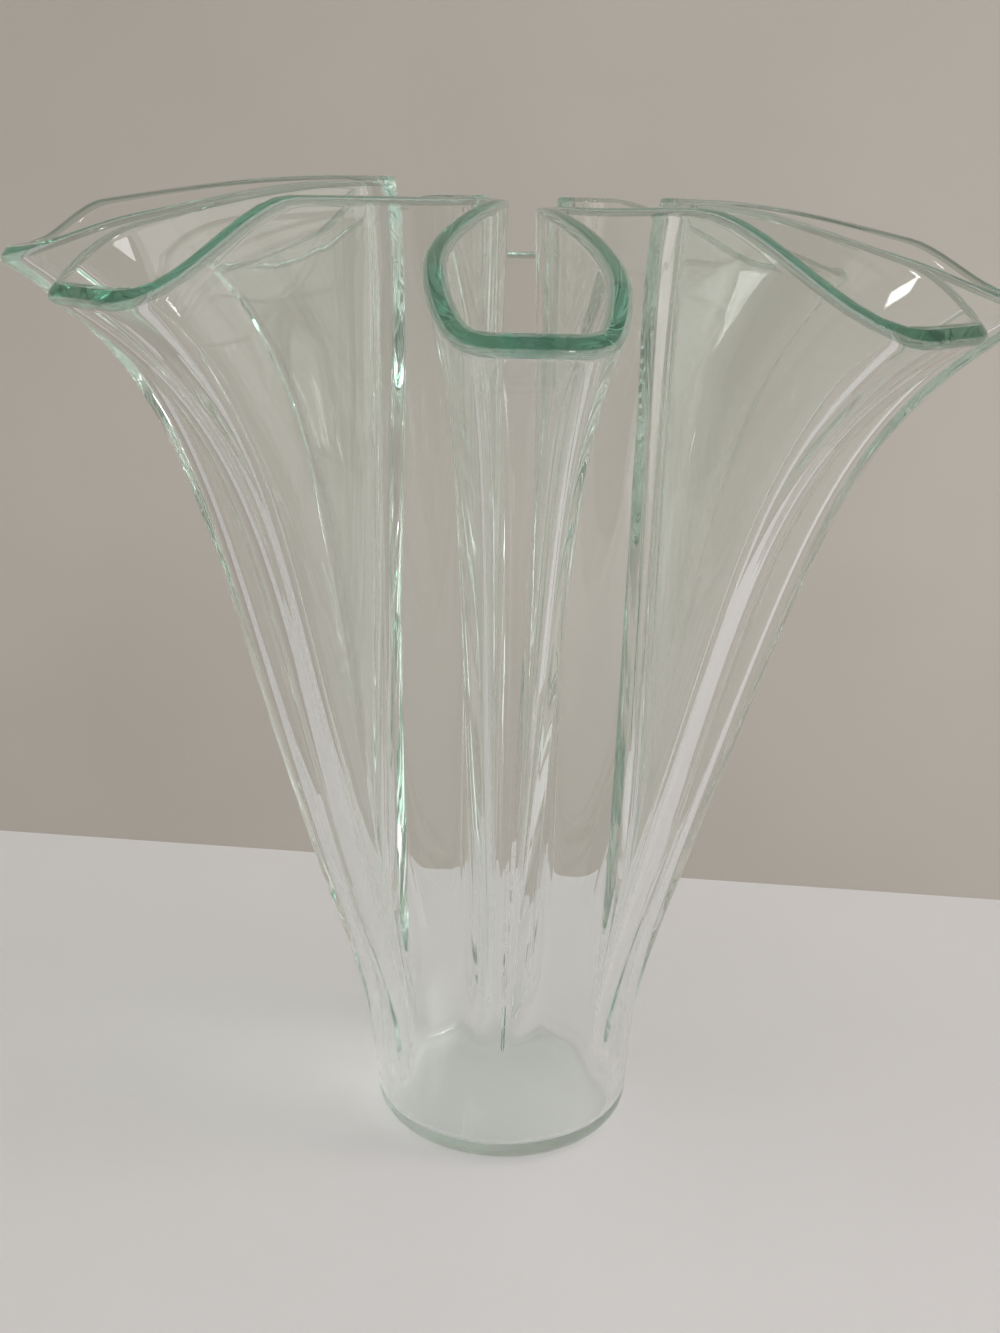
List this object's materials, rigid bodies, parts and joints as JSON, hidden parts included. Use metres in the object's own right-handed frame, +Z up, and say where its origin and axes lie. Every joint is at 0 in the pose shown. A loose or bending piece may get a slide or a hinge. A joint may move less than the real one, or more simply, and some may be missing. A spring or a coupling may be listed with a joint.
{
  "type": "handkerchief vase",
  "caption": "Flower vase of one sheet of window glass, slumped into deep folds, with a wavy, straight-tipped rim and a flat round foot.",
  "frame": {"origin": "centre of the foot's flat underside, on the surface that the vase stands on", "axes": "+Z up, along the vase's axis; -Y is the front, where the fold with the narrow neck faces the viewer; +X is to the viewer's right"},
  "size_m": [0.3149, 0.3022, 0.3198],
  "materials": {
    "glass": "clear, with green cut edge"
  },
  "bodies": {
    "root": {"vase_body": "glass"}
  },
  "joints": []
}
